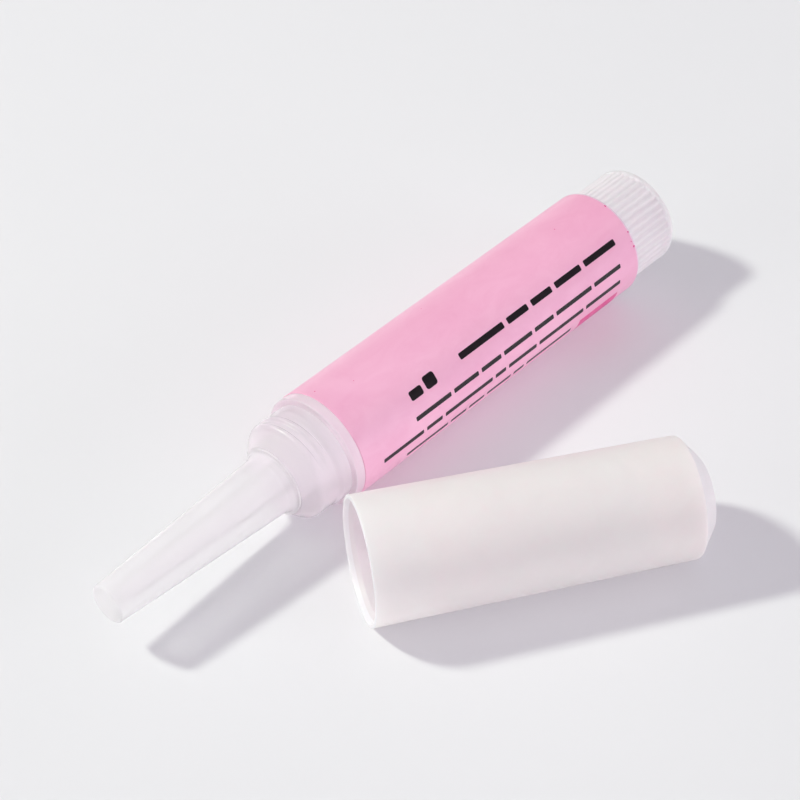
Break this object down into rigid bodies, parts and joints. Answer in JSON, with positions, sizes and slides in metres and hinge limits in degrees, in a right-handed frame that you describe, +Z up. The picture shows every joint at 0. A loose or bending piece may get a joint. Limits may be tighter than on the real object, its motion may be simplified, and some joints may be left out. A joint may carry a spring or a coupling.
{
  "type": "nail glue bottle",
  "caption": "Small squeeze bottle for nail glue with a ribbed tail, wrap label, threaded neck and long tapered nozzle, lying beside its long screw cap.",
  "frame": {"origin": "on the surface that the bottle and its cap lie on, in the middle of their outline seen from above", "axes": "+X along the bottle's axis from the ribbed tail to the nozzle tip, +Y from the bottle towards the side where the cap lies, +Z up"},
  "size_m": [0.0698, 0.0374, 0.0114],
  "materials": {
    "tube_plastic": "frosted translucent low density polyethylene",
    "label_film": "glossy pink printed film",
    "neck_plastic": "translucent low density polyethylene with a soft gloss",
    "nozzle_plastic": "translucent low density polyethylene with a soft gloss",
    "tail_plastic": "frosted translucent low density polyethylene",
    "liquid": "clear liquid",
    "cap_plastic": "milky translucent polyethylene with a satin surface",
    "seal_plastic": "soft milky polyethylene"
  },
  "bodies": {
    "bottle": {"barrel_tube": "tube_plastic", "label_wrap": "label_film", "threaded_neck": "neck_plastic", "nozzle": "nozzle_plastic", "ribbed_tail_plug": "tail_plastic", "adhesive": "liquid"},
    "cap": {"cap_shell": "cap_plastic", "cap_seal_cup": "seal_plastic"}
  },
  "joints": [
    {"name": "cap_swing", "type": "hinge", "parent": "bottle", "child": "cap", "pos_m": [0.02594, -0.01012, 0], "axis": [0, 0, -1], "range_deg": [0, 148.1]}
  ]
}
